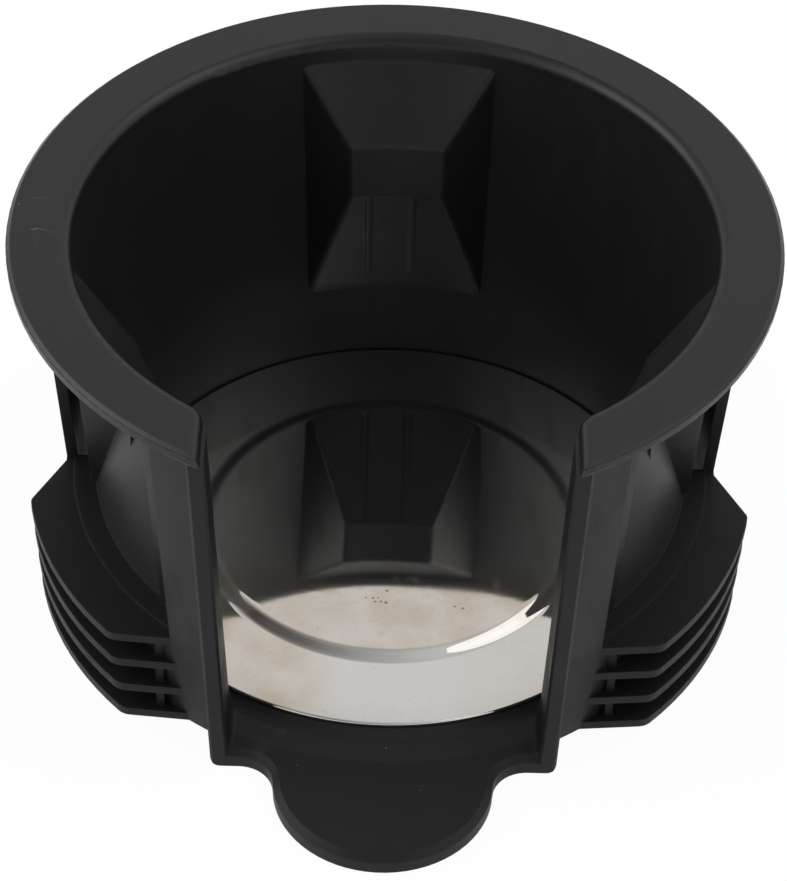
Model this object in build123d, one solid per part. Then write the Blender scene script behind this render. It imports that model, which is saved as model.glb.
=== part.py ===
from build123d import *
import os
from math import atan2, cos, hypot, radians, sin, sqrt, tan

# Rim and overall height
rim_overhang = 3.06
body_height = 59.1
rim_thickness = 2.1
lip_radius = 1.6
rim_edge_chamfer = 0.5

# Cup well
well_radius = 39.2
wall_draft = 4.5
wall_thickness = 2.0
floor_thickness = 3.6
seat_rise = 0.8
seat_flare = 2.4

# Outer sleeve and its windows
sleeve_radius = 44.6
sleeve_thickness = 1.6
window_half_angle = 25.5
sill_height = 16.3
sill_thickness = 2.0
sill_step = 0.3
sill_step_radius = 44.7

# Gripping bumps, one at the back and one at each side
bump_spread = 115.0
bump_depth = 7.0
bump_half_angle = 18.6
bump_foot = 15.8
bump_head = 55.5
flat_low = 37.4
flat_high = 45.7
flat_half_width = 6.5
bump_skin = 1.6
bump_ridge_radius = 1.2
rib_spacing = 6.4
rib_thickness = 1.1
rib_reach = 37.9

# Slot for a mug handle, with a post on each side
slot_half_width = 21.7
slot_lean = 2.4
slot_root_radius = 1.0
slot_corner_radius = 3.0
post_inset = 0.45
post_thickness = 2.4
post_front = 43.5
post_front_lean = 1.0
post_foot_radius = 1.5
post_edge_chamfer = 0.35

# Tongue in front of the slot
tongue_radius = 14.9
tongue_centre = 47.2
tongue_root_radius = 4.8
tongue_edge_chamfer = 0.9

# Fins outside the sleeve, below the side windows
fin_count = 4
fin_foot = 0.65
fin_thickness = 1.3
fin_radius = 51.0
fin_taper = 0.3
fin_back = 0.5
fin_shoulder_angle = 10.0
fin_shoulder_radius = 1.5
fin_front = 35.3
fin_front_skew = 5.4
fin_corner_radius = 2.5
fin_web_offset = 30.8
fin_web_thickness = 1.1

# Pressed steel disc on the floor
disc_clearance = 0.12
disc_thickness = 0.7
plateau_radius = 25.6
plateau_slope_width = 1.65
plateau_rise = 0.55
disc_edge_chamfer = 0.15

# Derived sizes
draft = tan(radians(wall_draft))
rim_underside = body_height - rim_thickness
rim_radius = sleeve_radius + draft * rim_underside + rim_overhang
joint_overlap = 0.5
cut_clearance = 1.0
tongue_top = floor_thickness - seat_rise
fin_pitch = (sill_height - fin_thickness - fin_foot) / (fin_count - 1)
slot_start = well_radius / 2
bump_bearings = (90.0, 90.0 + bump_spread, 90.0 - bump_spread)


def well(height):
    """Radius of the cup's inner surface at a height."""
    return well_radius + draft * (height - floor_thickness)


def sleeve(height):
    """Radius of the sleeve's outer surface at a height."""
    return sleeve_radius + draft * height


def slot_face(height):
    """Distance of the slot's side faces from the middle plane at a height."""
    return slot_half_width + tan(radians(slot_lean)) * (height - floor_thickness)


def turned(points, arc=360.0):
    """Solid of revolution about the cup's axis from radius and height pairs, centred on +X."""
    outline = make_face(Plane.XZ * Polyline(*points, close=True))
    return Rot(0, 0, -arc / 2) * revolve(outline, axis=Axis.Z, revolution_arc=arc)


def slot_prism(bottom, top):
    """The open slot's volume between two heights."""
    outline = Polyline(
        (-slot_face(bottom), bottom),
        (slot_face(bottom), bottom),
        (slot_face(top), top),
        (-slot_face(top), top),
        close=True,
    )
    front = extrude(make_face(Plane.XZ * outline), amount=2 * rim_radius)
    return Pos(0, -slot_start, 0) * front


def well_cone(offset=0.0):
    """The cup's inside as a solid cone, grown outward by an offset."""
    return turned(
        [
            (0, floor_thickness),
            (well(floor_thickness) + offset, floor_thickness),
            (well(body_height) + offset, body_height),
            (0, body_height),
        ]
    )


def disc_seat():
    """The floor's round seat above the tongue's level, with a hollow flare at its foot."""
    foot = well_radius + seat_flare
    bend = (seat_flare**2 + seat_rise**2) / (2 * seat_rise)
    half_turn = atan2(seat_rise, seat_flare)
    outline = Polyline((foot, tongue_top), (0, tongue_top), (0, floor_thickness), (well_radius, floor_thickness))
    outline += ThreePointArc(
        (well_radius, floor_thickness),
        (foot - bend * sin(half_turn), tongue_top + bend * (1 - cos(half_turn))),
        (foot, tongue_top),
    )
    return revolve(make_face(Plane.XZ * outline), axis=Axis.Z)


def from_axis(edge):
    """Distance of an edge's middle from the cup's axis."""
    return hypot(edge.position_at(0.5).X, edge.position_at(0.5).Y)


def cup_shell():
    """Floor, drafted wall and rim in one turned piece, cut open at the slot, with a rounded lip."""
    shell = turned(
        [
            (0, 0),
            (well(0) + wall_thickness, 0),
            (well(rim_underside) + wall_thickness, rim_underside),
            (rim_radius - rim_edge_chamfer, rim_underside),
            (rim_radius, rim_underside + rim_edge_chamfer),
            (rim_radius, body_height - rim_edge_chamfer),
            (rim_radius - rim_edge_chamfer, body_height),
            (well(body_height), body_height),
            (well(floor_thickness), floor_thickness),
            (0, floor_thickness),
        ]
    )
    shell -= slot_prism(floor_thickness, body_height + cut_clearance)
    inner_corner = min(slot_corner_radius, 1.6 * wall_thickness)
    tall = [e for e in shell.edges() if e.length > rim_underside - floor_thickness and e.center().Y < -slot_start]
    shell = fillet(sorted(tall, key=from_axis)[:2], inner_corner)
    top_edges = shell.edges().group_by(Axis.Z)[-1]
    lip_edges = top_edges.sort_by(from_axis)[:-1]
    shell = fillet(lip_edges, min(lip_radius, 0.8 * rim_thickness, 0.6 * inner_corner))
    return shell - (slot_prism(tongue_top, floor_thickness + joint_overlap) - disc_seat())


def bump_form(shift):
    """One bump's sharp form on the +X side, moved outward by shift; the same form makes its pocket."""
    embed = wall_thickness / 2
    ring = turned(
        [
            (well(bump_foot) + shift, bump_foot),
            (well(flat_low) - bump_depth + shift, flat_low),
            (well(flat_high) - bump_depth + shift, flat_high),
            (well(bump_head) + shift, bump_head),
            (well(bump_head) + embed + shift, bump_head),
            (well(bump_foot) + embed + shift, bump_foot),
        ],
        arc=4 * bump_half_angle,
    )
    middle = (bump_foot + bump_head) / 2
    base_radius = well(middle)
    base_reach = base_radius * cos(radians(bump_half_angle))
    base_width = base_radius * sin(radians(bump_half_angle))
    flat_radius = base_radius - bump_depth
    flat_reach = sqrt(flat_radius**2 - flat_half_width**2)
    spread = (base_width - flat_half_width) / (base_reach - flat_reach)
    near = flat_reach - wall_thickness
    far = base_radius + wall_thickness
    near_width = flat_half_width + spread * (near - flat_reach)
    far_width = flat_half_width + spread * (far - flat_reach)
    plan = [(near, -near_width), (far, -far_width), (far, far_width), (near, near_width)]
    sections = []
    for height in (bump_foot - cut_clearance, bump_head + cut_clearance):
        growth = well(height) / base_radius
        grown = [(growth * x + shift, growth * y) for x, y in plan]
        sections.append(Plane.XY.offset(height) * make_face(Polyline(*grown, close=True)))
    return ring & loft(sections, ruled=True)


def grip_bump():
    """The bump that stands into the cup, with its ridges rounded."""
    form = bump_form(0)
    ridge_limit = well((bump_foot + bump_head) / 2) - bump_depth / 3
    ridges = [e for e in form.edges() if e.center().X < ridge_limit]
    return fillet(ridges, bump_ridge_radius)


def pocket_ribs(pocket):
    """Two thin ribs standing in a bump's pocket on the +X side."""
    tall = bump_head - bump_foot
    plate = Box(rib_reach, rib_thickness, tall, align=(Align.MIN, Align.CENTER, Align.MIN))
    pair = [Pos(0, side * rib_spacing / 2, bump_foot) * plate for side in (-1, 1)]
    return [pocket & rib for rib in pair]


def outer_sleeve():
    """Drafted sleeve around the cup with a window at every bump."""
    top = rim_underside + joint_overlap
    shell = turned(
        [
            (sleeve(fin_foot) - sleeve_thickness, fin_foot),
            (sleeve(fin_foot), fin_foot),
            (sleeve(top), top),
            (sleeve(top) - sleeve_thickness, top),
        ]
    )
    gap_foot = (well(sill_height) + wall_thickness + sleeve(sill_height) - sleeve_thickness) / 2
    gap_head = gap_foot + draft * (rim_underside - sill_height)
    window = turned(
        [
            (gap_foot, sill_height),
            (rim_radius, sill_height),
            (rim_radius, rim_underside),
            (gap_head, rim_underside),
        ],
        arc=2 * window_half_angle,
    )
    for bearing in bump_bearings:
        shell -= Rot(0, 0, bearing) * window
    return shell


def window_sill():
    """Ledge that joins the cup wall to the sleeve under one window, on the +X side."""
    inner = well(sill_height) + wall_thickness / 2
    outer = min(sill_step_radius, sleeve(sill_height) - 0.2 * sleeve_thickness)
    return turned(
        [
            (inner, sill_height - sill_thickness),
            (outer, sill_height - sill_thickness),
            (outer, sill_height + sill_step),
            (inner, sill_height + sill_step),
        ],
        arc=2 * window_half_angle,
    )


def slot_root():
    """Fillet strip along the foot of one post on the slot's side."""
    foot = slot_face(tongue_top) - post_inset
    bend = slot_root_radius * (1 - sqrt(0.5))
    outline = Polyline(
        (foot - slot_root_radius, tongue_top),
        (foot + joint_overlap, tongue_top),
        (foot + joint_overlap, tongue_top + slot_root_radius),
        (foot, tongue_top + slot_root_radius),
    )
    outline += ThreePointArc(
        (foot, tongue_top + slot_root_radius),
        (foot - bend, tongue_top + bend),
        (foot - slot_root_radius, tongue_top),
    )
    strip = extrude(make_face(Plane.XZ * outline), amount=post_front - tongue_edge_chamfer)
    return strip - well_cone()


def slot_posts():
    """The two leaning plates beside the slot, from the underside to the rim."""
    inner_foot = slot_face(0) - post_inset
    inner_head = slot_face(rim_underside) - post_inset
    front = make_face(
        Plane.XZ
        * Polyline(
            (inner_foot, 0),
            (inner_foot + post_thickness, 0),
            (inner_head + post_thickness, rim_underside),
            (inner_head, rim_underside),
            close=True,
        )
    )
    plate = extrude(front, amount=2 * rim_radius)
    head_front = post_front + tan(radians(post_front_lean)) * rim_underside
    side = make_face(
        Plane.YZ
        * Polyline(
            (-post_front, 0),
            (-slot_start, 0),
            (-slot_start, rim_underside),
            (-head_front, rim_underside),
            close=True,
        )
    )
    plate &= extrude(side, amount=rim_radius)
    front_face = plate.faces().sort_by(Axis.Y)[0]
    upright = front_face.edges().sort_by(SortBy.LENGTH)[-2:]
    plate = chamfer(upright, min(post_edge_chamfer, 0.25 * post_thickness))
    foot = plate.edges().filter_by(Axis.Y).group_by(Axis.Z)[0].sort_by(Axis.X)[-1]
    plate = fillet([foot], min(post_foot_radius, 0.6 * post_thickness))
    plate -= well_cone(0.85 * wall_thickness)
    plate += slot_root()
    return plate + mirror(plate, about=Plane.YZ)


def floor_and_tongue():
    """Floor between the posts with the round tongue in front."""
    half = slot_face(0) + post_thickness / 3
    outline = Pos(0, -(post_front + slot_start) / 2) * Rectangle(2 * half, post_front - slot_start)
    outline += Pos(0, -tongue_centre) * Circle(tongue_radius)
    corners = [v for v in outline.vertices() if abs(v.Y + post_front) < 1e-4 and abs(v.X) < tongue_radius]
    outline = fillet(corners, tongue_root_radius)
    plate = extrude(outline, amount=tongue_top)
    rims = plate.edges().group_by(Axis.Z)[-1]
    fronts = [e for e in rims if e.center().Y < -post_front + 0.1]
    return chamfer(fronts, min(tongue_edge_chamfer, 0.4 * tongue_top))


def fin_plate(level):
    """One fin on the +X side, with its top at its own height."""
    reach = fin_radius - fin_taper * level
    top = sill_height - fin_pitch * level
    core = sleeve(0) - sleeve_thickness
    shoulder = radians(fin_shoulder_angle)
    skew = tan(radians(fin_front_skew))
    inner_x = sqrt(core**2 - fin_front**2)
    front_x = sqrt(reach**2 - fin_front**2)
    front_y = fin_front - skew * (front_x - fin_web_offset)
    front_x = sqrt(reach**2 - front_y**2)
    inner_y = fin_front + skew * (fin_web_offset - inner_x)
    half_way = (shoulder + atan2(front_y, front_x)) / 2
    outline = Polyline(
        (inner_x, -inner_y),
        (core, -fin_back),
        (sleeve(top), -fin_back),
        (reach * cos(shoulder), -reach * sin(shoulder)),
    )
    outline += ThreePointArc(
        (reach * cos(shoulder), -reach * sin(shoulder)),
        (reach * cos(half_way), -reach * sin(half_way)),
        (front_x, -front_y),
    )
    outline += Line((front_x, -front_y), (inner_x, -inner_y))
    face = make_face(outline)
    shoulder_corner = face.vertices().sort_by_distance((reach * cos(shoulder), -reach * sin(shoulder)))[0]
    face = fillet([shoulder_corner], fin_shoulder_radius)
    front_corner = face.vertices().sort_by_distance((front_x, -front_y))[0]
    face = fillet([front_corner], fin_corner_radius)
    return Pos(0, 0, top - fin_thickness) * extrude(face, amount=fin_thickness)


def side_fins():
    """The stack of fins on both sides with the short web between them."""
    stack = fin_plate(0)
    for level in range(1, fin_count):
        stack += fin_plate(level)
    lowest = sill_height - fin_pitch * (fin_count - 1) - fin_thickness / 2
    web = Box(
        fin_web_thickness,
        fin_front - sleeve_radius / 2,
        sill_height - fin_thickness / 2 - lowest,
        align=(Align.CENTER, Align.MIN, Align.MIN),
    )
    stack += Pos(fin_web_offset, -fin_front + fin_web_thickness, lowest) * web
    middle = sleeve_thickness / 2
    top = sill_height + cut_clearance
    core = turned(
        [
            (0, -cut_clearance),
            (sleeve(-cut_clearance) - middle, -cut_clearance),
            (sleeve(top) - middle, top),
            (0, top),
        ]
    )
    stack -= core
    return stack + mirror(stack, about=Plane.YZ)


def cup_body():
    """The whole moulding as one solid."""
    body = cup_shell()
    grip = grip_bump()
    pocket = bump_form(bump_skin)
    sill = window_sill()
    for bearing in bump_bearings:
        body += Rot(0, 0, bearing) * grip
        body -= Rot(0, 0, bearing) * pocket
        body += Rot(0, 0, bearing) * sill
        for rib in pocket_ribs(pocket):
            body += Rot(0, 0, bearing) * rib
    body += outer_sleeve() - slot_prism(0, body_height + cut_clearance)
    body += slot_posts()
    body += floor_and_tongue()
    return body + side_fins()


def base_disc():
    """Pressed sheet disc with a raised middle, resting on the cup's floor."""
    low = floor_thickness
    high = floor_thickness + plateau_rise
    outer = well_radius - disc_clearance
    slope_end = plateau_radius + plateau_slope_width
    sheet = disc_thickness
    disc = turned(
        [
            (0, high),
            (plateau_radius, high),
            (slope_end, low),
            (outer, low),
            (outer, low + sheet),
            (slope_end, low + sheet),
            (plateau_radius, high + sheet),
            (0, high + sheet),
        ]
    )
    rim = disc.edges().group_by(SortBy.LENGTH)[-1].sort_by(Axis.Z)[-1]
    return chamfer([rim], min(disc_edge_chamfer, 0.4 * disc_thickness))


os.makedirs("parts", exist_ok=True)
for name, solid in (("cup_body", cup_body()), ("base_disc", base_disc())):
    export_step(solid, f"parts/{name}.step")
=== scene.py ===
"""Finishes, fine marks, studio and camera for a moulded car cup holder with a polished steel disc."""

import logging
import math
import random
from dataclasses import dataclass
from enum import Enum
from functools import reduce

import bmesh
import bpy
from mathutils import Matrix, Vector


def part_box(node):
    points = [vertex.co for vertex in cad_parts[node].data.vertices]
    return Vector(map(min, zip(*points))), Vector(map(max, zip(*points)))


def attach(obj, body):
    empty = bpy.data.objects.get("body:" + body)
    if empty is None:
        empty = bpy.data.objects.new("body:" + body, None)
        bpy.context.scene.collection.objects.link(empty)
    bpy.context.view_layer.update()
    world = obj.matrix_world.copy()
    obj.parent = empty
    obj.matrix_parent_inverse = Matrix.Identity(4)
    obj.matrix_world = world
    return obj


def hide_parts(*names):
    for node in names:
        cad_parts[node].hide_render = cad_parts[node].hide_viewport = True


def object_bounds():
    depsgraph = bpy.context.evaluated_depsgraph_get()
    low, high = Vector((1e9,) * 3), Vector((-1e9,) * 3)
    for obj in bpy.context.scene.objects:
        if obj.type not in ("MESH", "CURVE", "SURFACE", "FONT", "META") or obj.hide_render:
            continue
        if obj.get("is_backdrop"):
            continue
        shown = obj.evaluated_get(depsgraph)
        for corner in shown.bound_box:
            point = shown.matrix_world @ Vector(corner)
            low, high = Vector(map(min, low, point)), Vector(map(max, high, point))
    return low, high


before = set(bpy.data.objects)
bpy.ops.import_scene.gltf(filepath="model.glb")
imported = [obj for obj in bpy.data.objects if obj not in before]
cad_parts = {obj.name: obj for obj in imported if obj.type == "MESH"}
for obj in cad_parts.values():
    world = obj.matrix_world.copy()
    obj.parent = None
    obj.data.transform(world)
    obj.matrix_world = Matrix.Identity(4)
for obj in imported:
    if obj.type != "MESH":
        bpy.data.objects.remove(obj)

MM = 0.001
BODY = "root"
LOG = logging.getLogger("cup_holder")

BEVEL_SAMPLES = 2

Span = tuple[float, float]
Point = tuple[float, float, float]
Colour = tuple[float, float, float, float]

SHARP_TURN: Span = (0.999, 0.93)
WHITE: Colour = (1.0, 1.0, 1.0, 1.0)


class Slot(Enum):
    """Material slots of the record."""

    PLASTIC = "black_plastic"
    STEEL = "polished_steel"


class Side(Enum):
    """Left and right of the slot, as signs along X."""

    LEFT = -1.0
    RIGHT = 1.0


class Field:
    """A node's output that takes part in Python expressions and adds its own Math nodes."""

    def __init__(self, sheet: "NodeSheet", socket: bpy.types.NodeSocket) -> None:
        """Keeps the output and the sheet that it is on."""
        self.sheet = sheet
        self.socket = socket

    def math(self, operation: str, first: "Field | float", second: "Field | float") -> "Field":
        """Adds one Math node.

        Args:
            operation: the Math node's operation.
            first: the first operand.
            second: the second operand.

        Returns:
            The node's result.
        """
        return self.sheet.field("ShaderNodeMath", {"operation": operation}, {0: first, 1: second})

    def __add__(self, other: "Field | float") -> "Field":
        """Sum."""
        return self.math("ADD", self, other)

    def __radd__(self, other: float) -> "Field":
        """Sum with a number on the left."""
        return self.math("ADD", other, self)

    def __sub__(self, other: "Field | float") -> "Field":
        """Difference."""
        return self.math("SUBTRACT", self, other)

    def __rsub__(self, other: float) -> "Field":
        """Difference with a number on the left."""
        return self.math("SUBTRACT", other, self)

    def __mul__(self, other: "Field | float") -> "Field":
        """Product."""
        return self.math("MULTIPLY", self, other)

    def __rmul__(self, other: float) -> "Field":
        """Product with a number on the left."""
        return self.math("MULTIPLY", other, self)

    def __truediv__(self, other: "Field | float") -> "Field":
        """Quotient."""
        return self.math("DIVIDE", self, other)

    def __abs__(self) -> "Field":
        """Distance from zero."""
        return self.math("ABSOLUTE", self, 0.0)

    def most(self, other: "Field | float") -> "Field":
        """The larger of two values."""
        return self.math("MAXIMUM", self, other)

    def least(self, other: "Field | float") -> "Field":
        """The smaller of two values."""
        return self.math("MINIMUM", self, other)

    def ramp(self, low: float, high: float) -> "Field":
        """Smooth step from 0 at low to 1 at high; low may be the larger of the two."""
        settings = {"interpolation_type": "SMOOTHSTEP", "clamp": True}
        sockets = {0: self, 1: low, 2: high, 3: 0.0, 4: 1.0}
        if low > high:
            sockets = {0: self, 1: high, 2: low, 3: 1.0, 4: 0.0}
        return self.sheet.field("ShaderNodeMapRange", settings, sockets)


class NodeSheet:
    """One node tree, with a single way to add any node."""

    def __init__(self, tree: bpy.types.NodeTree) -> None:
        """Takes over a tree and empties it."""
        self.tree = tree
        tree.nodes.clear()

    def node(
        self, kind: str, settings: dict | None = None, sockets: dict | None = None
    ) -> bpy.types.Node:
        """Adds a node.

        Args:
            kind: the node's type.
            settings: properties of the node, set before its sockets.
            sockets: constants or fields for its inputs, by name or number.

        Returns:
            The node.
        """
        made = self.tree.nodes.new(kind)
        for name, value in (settings or {}).items():
            setattr(made, name, value)
        for key, value in (sockets or {}).items():
            if isinstance(value, Field):
                self.tree.links.new(value.socket, made.inputs[key])
            else:
                made.inputs[key].default_value = value
        return made

    def field(self, kind: str, settings: dict, sockets: dict, output: int | str = 0) -> Field:
        """Adds a node and gives one of its outputs as a field."""
        return Field(self, self.node(kind, settings, sockets).outputs[output])

    def vector_value(self, operation: str, first: Field, second: "Field | Point") -> Field:
        """Adds a Vector Math node with a plain number as its result."""
        settings = {"operation": operation}
        return self.field("ShaderNodeVectorMath", settings, {0: first, 1: second}, "Value")

    def blend(self, factor: Field, first: "Field | Colour", second: "Field | Colour") -> Field:
        """Mixes two colours by a factor."""
        settings = {"data_type": "RGBA", "clamp_factor": True}
        return self.field("ShaderNodeMix", settings, {0: factor, 6: first, 7: second}, 2)


def strongest(masks: list[Field]) -> Field:
    """The largest of several masks at each point."""
    return reduce(Field.most, masks)


class SurfaceSheet(NodeSheet):
    """The node sheet of one surface, with its place in millimetres and the usual masks."""

    def __init__(self, material: bpy.types.Material) -> None:
        """Starts the sheet with the surface's own place."""
        material.use_nodes = True
        super().__init__(material.node_tree)
        place = self.field("ShaderNodeTexCoord", {}, {}, "Object")
        self.place = self.scaled(place, 1 / MM)
        parts = self.node("ShaderNodeSeparateXYZ", {}, {0: self.place})
        self.x, self.y, self.z = (Field(self, socket) for socket in parts.outputs)
        square = self.x * self.x + self.y * self.y
        self.radius = self.field("ShaderNodeMath", {"operation": "SQRT"}, {0: square})

    def scaled(self, vector: "Field | Point", factor: "Field | float") -> Field:
        """A vector times a number."""
        return self.field("ShaderNodeVectorMath", {"operation": "SCALE"}, {0: vector, "Scale": factor})

    def noise(
        self, grain: float, detail: float, stretch: Point = (1, 1, 1), offset: float = 0.0
    ) -> Field:
        """Cloudy variation from 0 to 1.

        Args:
            grain: size of the clouds in millimetres.
            detail: how many finer layers it has.
            stretch: scale of the place along each axis.
            offset: shift of the pattern in millimetres.

        Returns:
            The variation.
        """
        place = self.field(
            "ShaderNodeVectorMath",
            {"operation": "MULTIPLY_ADD"},
            {0: self.place, 1: stretch, 2: (offset, offset, offset)},
        )
        sockets = {"Vector": place, "Scale": 1 / grain, "Detail": detail}
        return self.field("ShaderNodeTexNoise", {}, sockets)

    def spot(self, centre: Point, radius: float) -> Field:
        """Soft round mask about a point."""
        return self.vector_value("DISTANCE", self.place, centre).ramp(radius, 0.4 * radius)

    def line(self, start: Point, end: Point, width: float) -> Field:
        """Soft mask along a straight line between two points.

        Args:
            start: one end in millimetres.
            end: the other end in millimetres.
            width: full width of the mask.

        Returns:
            The mask, 1 on the line.
        """
        along = Vector(end) - Vector(start)
        offset = self.field("ShaderNodeVectorMath", {"operation": "SUBTRACT"}, {0: self.place, 1: start})
        share = self.vector_value("DOT_PRODUCT", offset, tuple(along)) / along.length_squared
        share = share.most(0.0).least(1.0)
        nearest = self.scaled(tuple(along), share)
        return self.vector_value("DISTANCE", offset, nearest).ramp(width / 2, 0.0)

    def edges(self, radius: float) -> tuple[Field, Field]:
        """Rounded normal and a mask of the edges.

        Args:
            radius: rounding of the edges in millimetres.

        Returns:
            The rounded normal, and a mask that is 1 at sharp edges.
        """
        rounded = self.field("ShaderNodeBevel", {"samples": BEVEL_SAMPLES}, {"Radius": radius * MM})
        plain = self.field("ShaderNodeNewGeometry", {}, {}, "Normal")
        turn = self.vector_value("DOT_PRODUCT", rounded, plain)
        return rounded, turn.ramp(*SHARP_TURN)

    def surface(self, shader: bpy.types.Node) -> None:
        """Joins a shader to the material's output."""
        output = self.node("ShaderNodeOutputMaterial")
        self.tree.links.new(shader.outputs[0], output.inputs["Surface"])


@dataclass(frozen=True)
class Scratch:
    """A straight scratch on the surface, in millimetres."""

    start: Point
    end: Point
    width: float
    strength: float


@dataclass(frozen=True)
class Speck:
    """A speck of dust or residue on the surface, in millimetres."""

    centre: Point
    radius: float
    strength: float = 1.0


@dataclass(frozen=True)
class MouldedPlastic:
    """Black satin plastic from the mould, with a fine grain, rubbed edges and handling marks."""

    black: Colour = (0.0082, 0.0082, 0.0088, 1.0)
    rubbed: Colour = (0.017, 0.017, 0.018, 1.0)
    scraped: Colour = (0.115, 0.115, 0.115, 1.0)
    dust: Colour = (0.16, 0.16, 0.16, 1.0)
    roughness: float = 0.43
    roughness_spread: float = 0.10
    specular: float = 0.205
    edge_radius: float = 0.28
    grain_size: float = 0.22
    grain_depth: float = 0.010
    grain_share: float = 0.5
    flow_share: float = 0.25
    flow_size: float = 1.1
    flow_rough: float = 0.05
    cloud_size: float = 9.0
    smear_size: float = 3.2
    smear_levels: Span = (0.52, 0.74)
    smear_rough: float = 0.07
    rub_size: float = 1.6
    rub_levels: Span = (0.35, 0.7)
    rub_polish: float = 0.10
    dust_rough: float = 0.3
    dust_height: float = 0.05
    scrape_rough: float = 0.12
    scrape_depth: float = 0.03
    broken_size: float = 0.35
    broken_levels: Span = (0.25, 0.55)
    rim_low: float = 57.2
    rim_fade: float = 0.4
    rim_polish: float = 0.07
    rim_coat: float = 0.20
    inside_radius: float = 44.5
    inside_fade: float = 0.5
    inside_coat: float = 0.10
    coat_roughness: float = 0.30
    low_top: float = 18.0
    low_fade: float = 2.0
    low_rough: float = 0.09
    seam_height: float = 58.35
    seam_width: float = 0.30
    seam_radius: float = 51.45
    seam_fade: float = 0.1
    seam_depth: float = 0.10
    scratches: tuple[Scratch, ...] = (
        Scratch((-51.5, -1.33, 59.1), (-48.8, -1.65, 59.1), 0.16, 0.10),
        Scratch((-48.74, -1.45, 59.1), (-48.38, -1.40, 59.1), 0.34, 1.0),
        Scratch((-48.20, -1.34, 59.1), (-47.86, -1.28, 59.1), 0.34, 1.0),
        Scratch((-47.66, -1.40, 59.1), (-47.32, -1.38, 59.1), 0.34, 0.9),
        Scratch((-47.3, -1.40, 59.1), (-45.57, -1.96, 59.05), 0.55, 0.20),
        Scratch((-45.57, -1.96, 59.05), (-44.27, -3.18, 58.3), 0.60, 0.16),
        Scratch((-49.13, 5.19, 59.1), (-47.26, 5.47, 59.1), 0.34, 0.22),
        Scratch((-47.86, -2.90, 59.1), (-47.77, -4.60, 59.1), 0.30, 0.14),
    )
    specks: tuple[Speck, ...] = (
        Speck((0.33, -42.10, 2.8), 0.17, 0.6),
        Speck((0.88, -42.27, 2.8), 0.10, 0.5),
        Speck((5.04, -49.66, 2.8), 0.15, 0.5),
        Speck((5.30, -48.93, 2.8), 0.12, 0.5),
        Speck((-11.65, -45.62, 2.8), 0.14, 0.5),
        Speck((-14.04, -39.58, 2.8), 1.10, 0.06),
        Speck((-16.50, -42.50, 2.8), 1.60, 0.05),
        Speck((-50.90, 3.83, 59.1), 0.20, 0.4),
    )
    sink_lines: tuple[float, ...] = (-4.0, 2.35)
    sink_width: float = 1.5
    sink_low: float = 19.8
    sink_high: float = 36.5
    sink_fade: float = 1.0
    sink_core: float = 0.1
    sink_depth: float = 0.20
    sink_front: Span = (30.0, 31.0)
    sink_reach: Span = (41.0, 40.5)

    def marks(self, sheet: SurfaceSheet) -> tuple[Field, Field]:
        """Scratches and specks.

        Args:
            sheet: the surface's node sheet.

        Returns:
            The mask of the scratches and that of the specks.
        """
        scratched = [sheet.line(cut.start, cut.end, cut.width) * cut.strength for cut in self.scratches]
        dusty = [sheet.spot(speck.centre, speck.radius) * speck.strength for speck in self.specks]
        broken = sheet.noise(self.broken_size, 1.0, offset=7.0).ramp(*self.broken_levels)
        return strongest(scratched) * broken, strongest(dusty)

    def seam(self, sheet: SurfaceSheet) -> Field:
        """Mask of the parting line round the rim's outer edge."""
        height = abs(sheet.z - self.seam_height)
        outside = sheet.radius.ramp(self.seam_radius - self.seam_fade, self.seam_radius)
        return height.ramp(self.seam_width / 2, 0.0) * outside

    def sinks(self, sheet: SurfaceSheet) -> Field:
        """Mask of the shallow sink lines on the back bump, over the ribs behind it."""
        half = self.sink_width / 2
        lines = [abs(sheet.x - place).ramp(half, self.sink_core) for place in self.sink_lines]
        above = sheet.z.ramp(self.sink_low - self.sink_fade, self.sink_low)
        below = sheet.z.ramp(self.sink_high + self.sink_fade, self.sink_high)
        inside = sheet.y.ramp(*self.sink_front) * sheet.radius.ramp(*self.sink_reach)
        return strongest(lines) * (above * below) * inside

    def material(self) -> bpy.types.Material:
        """Builds the finish.

        Returns:
            The material.
        """
        material = bpy.data.materials.new("black_plastic_moulded")
        sheet = SurfaceSheet(material)
        rounded, edge = sheet.edges(self.edge_radius)
        scratched, dusty = self.marks(sheet)
        grain = sheet.noise(self.grain_size, 1.0)
        cloud = sheet.noise(self.cloud_size, 3.0, offset=31.0)
        smear = sheet.noise(self.smear_size, 2.0, (1.0, 1.0, 0.3), 11.0).ramp(*self.smear_levels)
        flow = sheet.noise(self.flow_size, 1.0, (1.0, 1.0, 0.06), 3.0)
        rub = edge * sheet.noise(self.rub_size, 3.0, offset=5.0).ramp(*self.rub_levels)
        seam = self.seam(sheet)
        sink = self.sinks(sheet)
        rim = sheet.z.ramp(self.rim_low - self.rim_fade, self.rim_low)
        low = sheet.z.ramp(self.low_top, self.low_top - self.low_fade)
        inside = sheet.radius.ramp(self.inside_radius + self.inside_fade, self.inside_radius)
        inside = inside * (1.0 - rim)
        colour = sheet.blend(rub, self.black, self.rubbed)
        colour = sheet.blend(scratched, colour, self.scraped)
        colour = sheet.blend(dusty, colour, self.dust)
        roughness = self.roughness - rim * self.rim_polish + low * self.low_rough
        roughness = roughness + (cloud - 0.5) * self.roughness_spread
        roughness = roughness + (flow - 0.5) * self.flow_rough + smear * self.smear_rough
        roughness = roughness - rub * self.rub_polish + dusty * self.dust_rough
        roughness = roughness + scratched * self.scrape_rough
        height = (grain - 0.5) * self.grain_share + (flow - 0.5) * self.flow_share
        height = height * self.grain_depth - sink * self.sink_depth - seam * self.seam_depth
        height = height - scratched * self.scrape_depth + dusty * self.dust_height
        bump = sheet.field(
            "ShaderNodeBump",
            {},
            {"Strength": 1.0, "Distance": MM, "Height": height, "Normal": rounded},
        )
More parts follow.
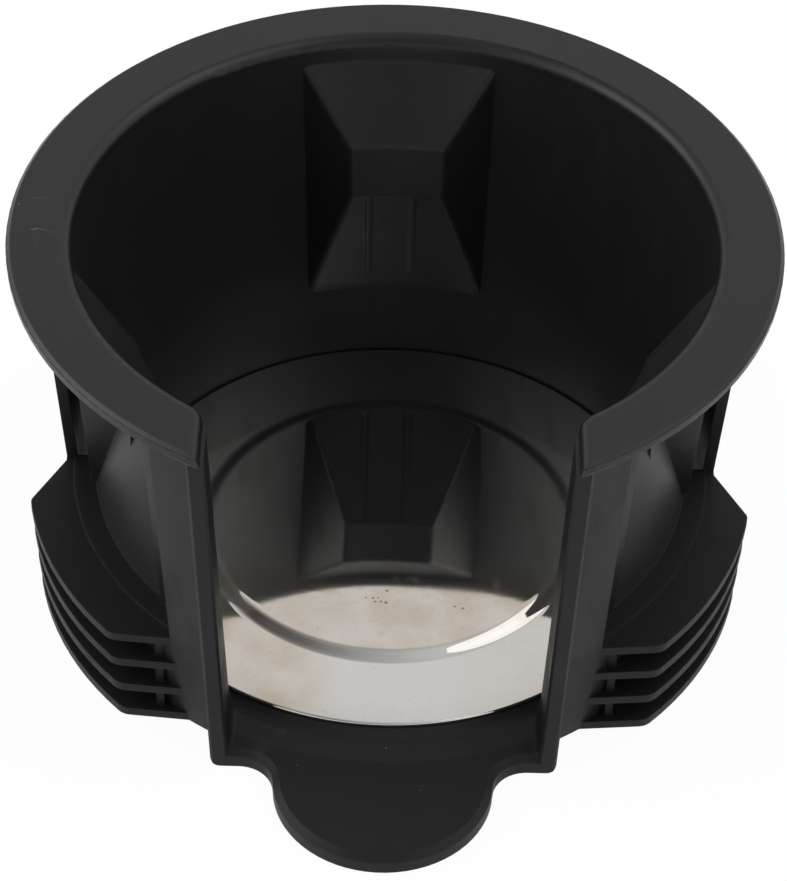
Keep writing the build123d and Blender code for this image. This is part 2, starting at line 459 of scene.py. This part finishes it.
        shader = sheet.node(
            "ShaderNodeBsdfPrincipled",
            {},
            {
                "Base Color": colour,
                "Roughness": roughness,
                "Normal": bump,
                "IOR": 1.5,
                "Specular IOR Level": self.specular,
                "Coat Weight": rim * self.rim_coat + inside * self.inside_coat,
                "Coat Roughness": self.coat_roughness,
            },
        )
        sheet.surface(shader)
        return material


@dataclass(frozen=True)
class PolishedSteel:
    """Mirror-polished stainless sheet with faint stains, residue specks and fine wiping lines."""

    bright: Colour = (0.642, 0.628, 0.604, 1.0)
    stained: Colour = (0.530, 0.465, 0.390, 1.0)
    residue: Colour = (0.22, 0.185, 0.145, 1.0)
    middle_radius: float = 25.5
    middle_fade: float = 0.3
    middle_stain: float = 0.62
    left_stain: float = 0.80
    left_fade: Span = (-4.0, -16.0)
    right_stain: float = 0.35
    right_fade: Span = (6.0, 20.0)
    front_fade: Span = (-7.0, -13.0)
    stain_size: float = 7.5
    stain_levels: Span = (0.30, 0.72)
    stain_rough: float = 0.02
    fine_size: float = 1.3
    fine_levels: Span = (0.55, 0.80)
    fine_stain: float = 0.3
    border_start: float = 27.4
    border_rise: float = 0.03
    rise_fade: Span = (0.0, -14.0)
    right_tilt: float = 0.0105
    tilt_fade: Span = (2.0, 18.0)
    roughness: float = 0.026
    roughness_spread: float = 0.030
    wipe_size: float = 0.9
    wipe_height: float = 0.0004
    wave_size: float = 14.0
    wave_height: float = 0.004
    smudge_size: float = 4.0
    smudge_levels: Span = (0.55, 0.75)
    smudge_rough: float = 0.035
    residue_size: float = 0.22
    residue_levels: Span = (0.20, 0.55)
    residue_rough: float = 0.25
    specks: tuple[Speck, ...] = (
        Speck((-2.98, -15.07, 4.85), 0.26, 0.7),
        Speck((-2.00, -15.14, 4.85), 0.32, 0.7),
        Speck((-1.29, -15.02, 4.85), 0.26, 0.7),
        Speck((-1.70, -15.83, 4.85), 0.32, 0.7),
        Speck((-0.86, -15.80, 4.85), 0.32, 0.7),
        Speck((-0.15, -15.98, 4.85), 0.38, 0.7),
        Speck((-0.05, -13.57, 4.85), 0.34, 0.6),
        Speck((0.51, -13.15, 4.85), 0.22, 0.6),
        Speck((9.56, -16.46, 4.85), 0.28, 0.7),
        Speck((10.69, -16.82, 4.85), 0.30, 0.7),
        Speck((-9.55, -21.45, 4.85), 0.16, 0.6),
        Speck((-4.90, 0.63, 4.85), 0.22, 0.5),
        Speck((-6.26, -2.54, 4.85), 0.26, 0.5),
    )

    def stains(self, sheet: SurfaceSheet) -> Field:
        """How far the steel is stained: the front of the dished middle and the border's sides most.

        Args:
            sheet: the surface's node sheet.

        Returns:
            The share of the stained colour.
        """
        front = sheet.y.ramp(*self.front_fade)
        fade = self.middle_fade
        middle = sheet.radius.ramp(self.middle_radius + fade, self.middle_radius - fade)
        left = sheet.x.ramp(*self.left_fade) * self.left_stain
        right = sheet.x.ramp(*self.right_fade) * self.right_stain
        cloud = sheet.noise(self.stain_size, 4.0, offset=17.0).ramp(*self.stain_levels)
        fine = sheet.noise(self.fine_size, 3.0, offset=23.0).ramp(*self.fine_levels)
        spread = (middle * self.middle_stain + (1.0 - middle) * (left + right)) * (0.5 + cloud)
        return (spread + fine * self.fine_stain) * front

    def warp(self, sheet: SurfaceSheet) -> Field:
        """Height of the sheet's slight warp: the border's front rises and the right side tilts."""
        outwards = (sheet.radius - self.border_start).most(0.0)
        rise = outwards * sheet.y.ramp(*self.rise_fade) * self.border_rise
        return rise + sheet.y * sheet.x.ramp(*self.tilt_fade) * self.right_tilt

    def material(self) -> bpy.types.Material:
        """Builds the finish.

        Returns:
            The material.
        """
        material = bpy.data.materials.new("polished_steel_sheet")
        sheet = SurfaceSheet(material)
        spots = [sheet.spot(speck.centre, speck.radius) * speck.strength for speck in self.specks]
        residue = strongest(spots)
        broken = sheet.noise(self.residue_size, 1.0, offset=2.0).ramp(*self.residue_levels)
        stain = self.stains(sheet)
        wiped = sheet.noise(self.wipe_size, 2.0, (0.05, 1.0, 1.0), 9.0)
        smudge = sheet.noise(self.smudge_size, 3.0, (1.0, 0.6, 1.0), 41.0).ramp(*self.smudge_levels)
        wave = sheet.noise(self.wave_size, 1.0, offset=4.0)
        colour = sheet.blend(stain, self.bright, self.stained)
        colour = sheet.blend(residue * broken, colour, self.residue)
        roughness = self.roughness + (wiped - 0.5) * self.roughness_spread
        roughness = roughness + smudge * self.smudge_rough
        roughness = roughness + stain * self.stain_rough + residue * self.residue_rough
        height = (wiped - 0.5) * self.wipe_height + (wave - 0.5) * self.wave_height
        height = height + self.warp(sheet)
        bump = sheet.field("ShaderNodeBump", {}, {"Strength": 1.0, "Distance": MM, "Height": height})
        shader = sheet.node(
            "ShaderNodeBsdfPrincipled",
            {},
            {"Base Color": colour, "Metallic": 1.0, "Roughness": roughness, "Normal": bump},
        )
        sheet.surface(shader)
        return material


@dataclass(frozen=True)
class PaleFloor:
    """White studio floor that keeps a faint shadow."""

    white: Colour = (0.93, 0.93, 0.93, 1.0)
    glow: float = 0.95

    def material(self) -> bpy.types.Material:
        """Builds the floor's finish.

        Returns:
            The material.
        """
        material = bpy.data.materials.new("pale_floor")
        material.use_nodes = True
        sheet = NodeSheet(material.node_tree)
        path = sheet.node("ShaderNodeLightPath")
        seen = Field(sheet, path.outputs["Is Camera Ray"])
        for ray in ("Is Glossy Ray", "Is Transmission Ray"):
            seen = seen.most(Field(sheet, path.outputs[ray]))
        dull = sheet.field("ShaderNodeBsdfDiffuse", {}, {"Color": self.white})
        glow = sheet.field("ShaderNodeEmission", {}, {"Color": WHITE, "Strength": 1.0})
        shader = sheet.node("ShaderNodeMixShader", {}, {0: seen * self.glow, 1: dull, 2: glow})
        output = sheet.node("ShaderNodeOutputMaterial")
        sheet.tree.links.new(shader.outputs[0], output.inputs["Surface"])
        return material


def add_mesh(
    name: str, work: bmesh.types.BMesh, material: bpy.types.Material
) -> bpy.types.Object:
    """Turns mesh work into a smooth piece that rides on the part.

    Args:
        name: the piece's name.
        work: the finished mesh work, freed here.
        material: the piece's finish.

    Returns:
        The piece.
    """
    bmesh.ops.recalc_face_normals(work, faces=work.faces)
    mesh = bpy.data.meshes.new(name)
    work.to_mesh(mesh)
    work.free()
    mesh.shade_smooth()
    mesh.materials.append(material)
    piece = bpy.data.objects.new(name, mesh)
    bpy.context.scene.collection.objects.link(piece)
    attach(piece, BODY)
    return piece


@dataclass
class CupBody:
    """The one-piece moulding: its finish, the flash left on the parting line and at the slot's ends."""

    finish: MouldedPlastic
    node: str = "cup_body"
    rim_thickness: float = 2.1
    slot_half_width: float = 24.0
    bead_proud: float = 0.05
    bead_width: float = 0.16
    bead_root: float = 0.08
    bead_start: float = 0.004
    bead_steps: int = 360
    flash_arc: float = 5.0
    flash_start: float = 0.008
    flash_below: float = 0.35
    flash_above: float = 0.2
    flash_root: float = 0.3
    flash_sunk: float = 0.01
    flash_edge: float = 0.04
    flash_steps: int = 26
    flash_rows: int = 5
    flash_proud: float = 0.10
    seed: int = 11

    def __post_init__(self) -> None:
        """Reads the rim's size from the frame."""
        _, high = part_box(self.node)
        self.rim_radius = high.x / MM
        self.height = high.z / MM
        self.end_angle = math.asin(self.slot_half_width / self.rim_radius)
        self.material = self.finish.material()

    def rim_point(self, angle: float, radius: float, height: float) -> Vector:
        """Place on the rim by its angle from the slot's middle, in metres."""
        return Vector((radius * math.sin(angle), -radius * math.cos(angle), height)) * MM

    def dress(self) -> None:
        """Gives the moulding its finish."""
        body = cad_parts[self.node]
        body.data.materials.clear()
        body.data.materials.append(self.material)

    def parting_bead(self) -> bpy.types.Object:
        """Thin raised line where the mould's halves meet round the rim.

        Returns:
            The piece.
        """
        work = bmesh.new()
        draw = random.Random(self.seed)
        seam = self.finish.seam_height + self.finish.seam_width / 2 + self.bead_width / 2
        start = self.end_angle + self.bead_start
        rings = []
        for step in range(self.bead_steps + 1):
            angle = start + (2 * math.pi - 2 * start) * step / self.bead_steps
            proud = self.bead_proud * (0.6 + 0.8 * draw.random())
            section = (
                (-self.bead_root, seam - self.bead_width / 2),
                (proud, seam),
                (-self.bead_root, seam + self.bead_width / 2),
            )
            spots = [self.rim_point(angle, self.rim_radius + out, high) for out, high in section]
            rings.append([work.verts.new(spot) for spot in spots])
        for near, far in zip(rings, rings[1:]):
            for corner in range(3):
                follow = (corner + 1) % 3
                work.faces.new((near[corner], near[follow], far[follow], far[corner]))
        work.faces.new(rings[0])
        work.faces.new(rings[-1])
        return add_mesh("rim_parting_bead", work, self.material)

    def slot_flash(self, side: Side) -> bpy.types.Object:
        """Ragged flash on the rim's edge beside the slot.

        Args:
            side: which end of the rim.

        Returns:
            The piece.
        """
        work = bmesh.new()
        draw = random.Random(self.seed + int(side.value))
        low = self.height - self.rim_thickness + self.flash_below
        high = self.finish.seam_height - self.flash_above
        arc = self.flash_arc / self.rim_radius
        grid = []
        for step in range(self.flash_steps + 1):
            share = step / self.flash_steps
            angle = side.value * (self.end_angle + self.flash_start + arc * share)
            fade = (1 - share) ** 1.5 * min(1.0, 6 * share)
            column = []
            for row in range(self.flash_rows + 1):
                across = row / self.flash_rows
                lump = fade * math.sin(math.pi * across) * draw.uniform(-0.3, 1.0)
                proud = self.flash_proud * lump if 0 < row < self.flash_rows else -self.flash_edge
                reach = self.rim_radius + proud - self.flash_sunk
                column.append(work.verts.new(self.rim_point(angle, reach, low + (high - low) * across)))
            root = self.rim_point(angle, self.rim_radius - self.flash_root, (low + high) / 2)
            column.append(work.verts.new(root))
            grid.append(column)
        for near, far in zip(grid, grid[1:]):
            for row in range(len(near)):
                follow = (row + 1) % len(near)
                work.faces.new((near[row], near[follow], far[follow], far[row]))
        work.faces.new(grid[0])
        work.faces.new(grid[-1])
        return add_mesh(f"slot_flash_{side.name.lower()}", work, self.material)

    def build(self) -> list[bpy.types.Object]:
        """Dresses the moulding and adds its flash.

        Returns:
            The pieces that were added.
        """
        self.dress()
        return [self.parting_bead(), self.slot_flash(Side.LEFT), self.slot_flash(Side.RIGHT)]


@dataclass
class BaseDisc:
    """The pressed disc: a raised and slightly dished middle that slopes down to a flat border."""

    finish: PolishedSteel
    node: str = "base_disc"
    sheet_thickness: float = 0.7
    dish_depth: float = 0.19
    slope_start: float = 25.5
    slope_end: float = 27.3
    bend_length: float = 0.60
    edge_radius: float = 0.3
    dish_steps: int = 28
    bend_steps: int = 6
    turns: int = 288

    def __post_init__(self) -> None:
        """Reads the disc's size from the frame."""
        low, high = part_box(self.node)
        self.radius = high.x / MM
        self.floor = low.z / MM
        self.plateau = high.z / MM

    def bend(self, before: Vector, corner: Vector, after: Vector) -> list[Vector]:
        """Rounds one corner of the profile.

        Args:
            before: a point on the stretch that leads to the corner.
            corner: the sharp corner.
            after: a point on the stretch that leaves it.

        Returns:
            Points along the rounded corner.
        """
        start = corner + (before - corner).normalized() * self.bend_length
        end = corner + (after - corner).normalized() * self.bend_length
        shares = [step / self.bend_steps for step in range(self.bend_steps + 1)]
        return [(1 - s) ** 2 * start + 2 * s * (1 - s) * corner + s * s * end for s in shares]

    def top_profile(self) -> list[Vector]:
        """Radius and height along the upper face, from the middle to the edge.

        Returns:
            The points, in millimetres.
        """
        border = self.floor + self.sheet_thickness
        brink = Vector((self.slope_start, self.plateau))
        foot = Vector((self.slope_end, border))
        edge = Vector((self.radius, border))
        points = []
        for step in range(1, self.dish_steps):
            share = step / self.dish_steps
            points.append(Vector((brink.x * share, brink.y - self.dish_depth * (1 - share * share))))
        points += self.bend(points[-1], brink, foot) + self.bend(brink, foot, edge)
        roll = edge - Vector((self.edge_radius, self.edge_radius))
        for step in range(self.bend_steps + 1):
            turn = math.radians(90 * step / self.bend_steps)
            points.append(roll + self.edge_radius * Vector((math.sin(turn), math.cos(turn))))
        return points

    def build(self) -> bpy.types.Object:
        """Turns the disc from its profile.

        Returns:
            The piece that stands for the disc.
        """
        top = self.top_profile()
        drop = Vector((0, self.sheet_thickness))
        under = [point - drop for point in top if point.x <= self.slope_end]
        outline = top + [Vector((self.radius, self.floor))] + under[::-1]
        work = bmesh.new()
        rings = []
        for point in outline:
            ring = []
            for turn in range(self.turns):
                angle = 2 * math.pi * turn / self.turns
                spot = Vector((point.x * math.cos(angle), point.x * math.sin(angle), point.y))
                ring.append(work.verts.new(spot * MM))
            rings.append(ring)
        for near, far in zip(rings, rings[1:]):
            for turn in range(self.turns):
                follow = (turn + 1) % self.turns
                work.faces.new((near[turn], far[turn], far[follow], near[follow]))
        middle = self.plateau - self.dish_depth
        for ring, height in ((rings[0], middle), (rings[-1], middle - self.sheet_thickness)):
            hub = work.verts.new((0, 0, height * MM))
            for turn in range(self.turns):
                work.faces.new((hub, ring[turn], ring[(turn + 1) % self.turns]))
        piece = add_mesh("pressed_disc", work, self.finish.material())
        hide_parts(self.node)
        return piece


@dataclass
class Studio:
    """Pale floor, white surroundings and soft lights."""

    floor_half: float = 6.0
    overhead_left: float = 0.06
    overhead_right: float = 0.74
    front_level: float = 1.25
    back_level: float = 0.73
    side_level: float = 1.02
    backdrop_side: Point = (0.0, 0.72, 0.694)
    backdrop_level: float = 0.88
    camera_side: Point = (0.0, -0.744, 0.668)
    camera_level: float = 0.36
    soft_box_side: Point = (0.62, -0.05, 0.78)
    soft_box_level: float = 0.9
    front_fade: Span = (0.15, -0.55)
    side_fade: Span = (0.35, 0.75)
    backdrop_fade: Span = (0.90, 0.97)
    camera_fade: Span = (0.80, 0.95)
    soft_box_fade: Span = (0.86, 0.96)
    overhead_fade: Span = (0.73, 0.86)
    overhead_across: Span = (-0.42, 0.22)
    panel_centre: Point = (0.40, 0.22, 0.75)
    panel_size: Span = (0.45, 0.60)
    panel_power: float = 0.65
    side_centre: Point = (-0.9, 0.05, 0.45)
    side_size: Span = (0.8, 0.6)
    side_power: float = 3.0

    def floor(self) -> bpy.types.Object:
        """The floor that the part stands on.

        Returns:
            The floor.
        """
        half = self.floor_half
        mesh = bpy.data.meshes.new("floor")
        corners = [(-half, -half, 0), (half, -half, 0), (half, half, 0), (-half, half, 0)]
        mesh.from_pydata(corners, [], [(0, 1, 2, 3)])
        mesh.materials.append(PaleFloor().material())
        floor = bpy.data.objects.new("floor", mesh)
        bpy.context.scene.collection.objects.link(floor)
        floor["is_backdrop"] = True
        return floor

    def surroundings(self) -> None:
        """White surroundings with soft boxes at both sides, dark overhead left and about the viewer."""
        world = bpy.data.worlds.new("studio")
        bpy.context.scene.world = world
        world.use_nodes = True
        sheet = NodeSheet(world.node_tree)
        direction = sheet.field("ShaderNodeTexCoord", {}, {}, "Generated")
        parts = sheet.node("ShaderNodeSeparateXYZ", {}, {0: direction})
        across, depth, up = (Field(sheet, socket) for socket in parts.outputs)
        front = depth.ramp(*self.front_fade)
        sideways = abs(across)
        side = sideways.ramp(*self.side_fade)
        mirrored = sheet.field("ShaderNodeCombineXYZ", {}, {0: sideways, 1: depth, 2: up})
        near_backdrop = sheet.vector_value("DOT_PRODUCT", direction, self.backdrop_side)
        near_camera = sheet.vector_value("DOT_PRODUCT", direction, self.camera_side)
        near_box = sheet.vector_value("DOT_PRODUCT", mirrored, self.soft_box_side)
        backdrop = near_backdrop.ramp(*self.backdrop_fade)
        viewer = near_camera.ramp(*self.camera_fade)
        soft_box = near_box.ramp(*self.soft_box_fade)
        overhead = up.ramp(*self.overhead_fade)
        ceiling = across.ramp(*self.overhead_across) * (self.overhead_right - self.overhead_left)
        ceiling = ceiling + self.overhead_left
        level = front * (self.front_level - self.back_level) + self.back_level
        level = level + side * (self.side_level - level)
        level = level + backdrop * (self.backdrop_level - level)
        level = level + viewer * (self.camera_level - level)
        level = level + overhead * (ceiling - level) + soft_box * self.soft_box_level
        path = sheet.node("ShaderNodeLightPath")
        camera = Field(sheet, path.outputs["Is Camera Ray"])
        strength = level + camera * (1.0 - level)
        background = sheet.node("ShaderNodeBackground", {}, {"Color": WHITE, "Strength": strength})
        output = sheet.node("ShaderNodeOutputWorld")
        sheet.tree.links.new(background.outputs[0], output.inputs["Surface"])

    def lamp(self, name: str, centre: Point, size: Span, power: float) -> bpy.types.Object:
        """Adds a soft panel light that faces the part.

        Args:
            name: the lamp's name.
            centre: its place in metres.
            size: its width and depth in metres.
            power: its power in watts.

        Returns:
            The lamp.
        """
        data = bpy.data.lights.new(name, "AREA")
        data.shape = "RECTANGLE"
        data.size, data.size_y = size
        data.energy = power
        lamp = bpy.data.objects.new(name, data)
        lamp.location = centre
        lamp.rotation_euler = (-Vector(centre)).to_track_quat("-Z", "Y").to_euler()
        bpy.context.scene.collection.objects.link(lamp)
        return lamp

    def build(self) -> None:
        """Sets up floor, surroundings and lamps."""
        self.floor()
        self.surroundings()
        panel = self.lamp("overhead_panel", self.panel_centre, self.panel_size, self.panel_power)
        panel.rotation_euler = (0.0, 0.0, 0.0)
        self.lamp("side_panel", self.side_centre, self.side_size, self.side_power)
        bpy.context.scene.view_settings.view_transform = "Standard"


@dataclass(frozen=True)
class PhotoCamera:
    """Camera at the photograph's viewing angle, in the part's frame."""

    centre: Point = (0.374, -396.386, 381.249)
    elevation: float = 42.261
    roll: float = -1.34
    focal_pixels: float = 3800.0
    image_height: float = 881.0
    sensor: float = 36.0

    def build(self) -> bpy.types.Object:
        """Makes the camera the scene's camera.

        Returns:
            The camera.
        """
        tilt = math.radians(self.elevation)
        turn = math.radians(self.roll)
        forward = Vector((0, math.cos(tilt), -math.sin(tilt)))
        right = Vector((1, 0, 0))
        down = forward.cross(right)
        across = math.cos(turn) * right + math.sin(turn) * down
        below = -math.sin(turn) * right + math.cos(turn) * down
        data = bpy.data.cameras.new("photo_camera")
        data.sensor_width = self.sensor
        data.lens = self.sensor * self.focal_pixels / self.image_height
        data.clip_start = 0.01
        data.clip_end = 50.0
        camera = bpy.data.objects.new("photo_camera", data)
        basis = Matrix((across, -below, -forward)).transposed().to_4x4()
        camera.matrix_world = Matrix.Translation(Vector(self.centre) * MM) @ basis
        bpy.context.scene.collection.objects.link(camera)
        bpy.context.scene.camera = camera
        return camera


def corners() -> list[list[float]]:
    """The shown object's box as plain numbers."""
    return [list(corner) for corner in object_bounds()]


def main() -> None:
    """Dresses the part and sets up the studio."""
    logging.basicConfig(level=logging.INFO, format="%(message)s")
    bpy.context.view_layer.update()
    for piece in CupBody(MouldedPlastic()).build():
        LOG.info("added %s with %d faces", piece.name, len(piece.data.polygons))
    disc = BaseDisc(PolishedSteel()).build()
    LOG.info("added %s with %d faces", disc.name, len(disc.data.polygons))
    Studio().build()
    camera = PhotoCamera().build()
    LOG.info("camera lens %.2f mm", camera.data.lens)


if __name__ == "__main__":
    main()
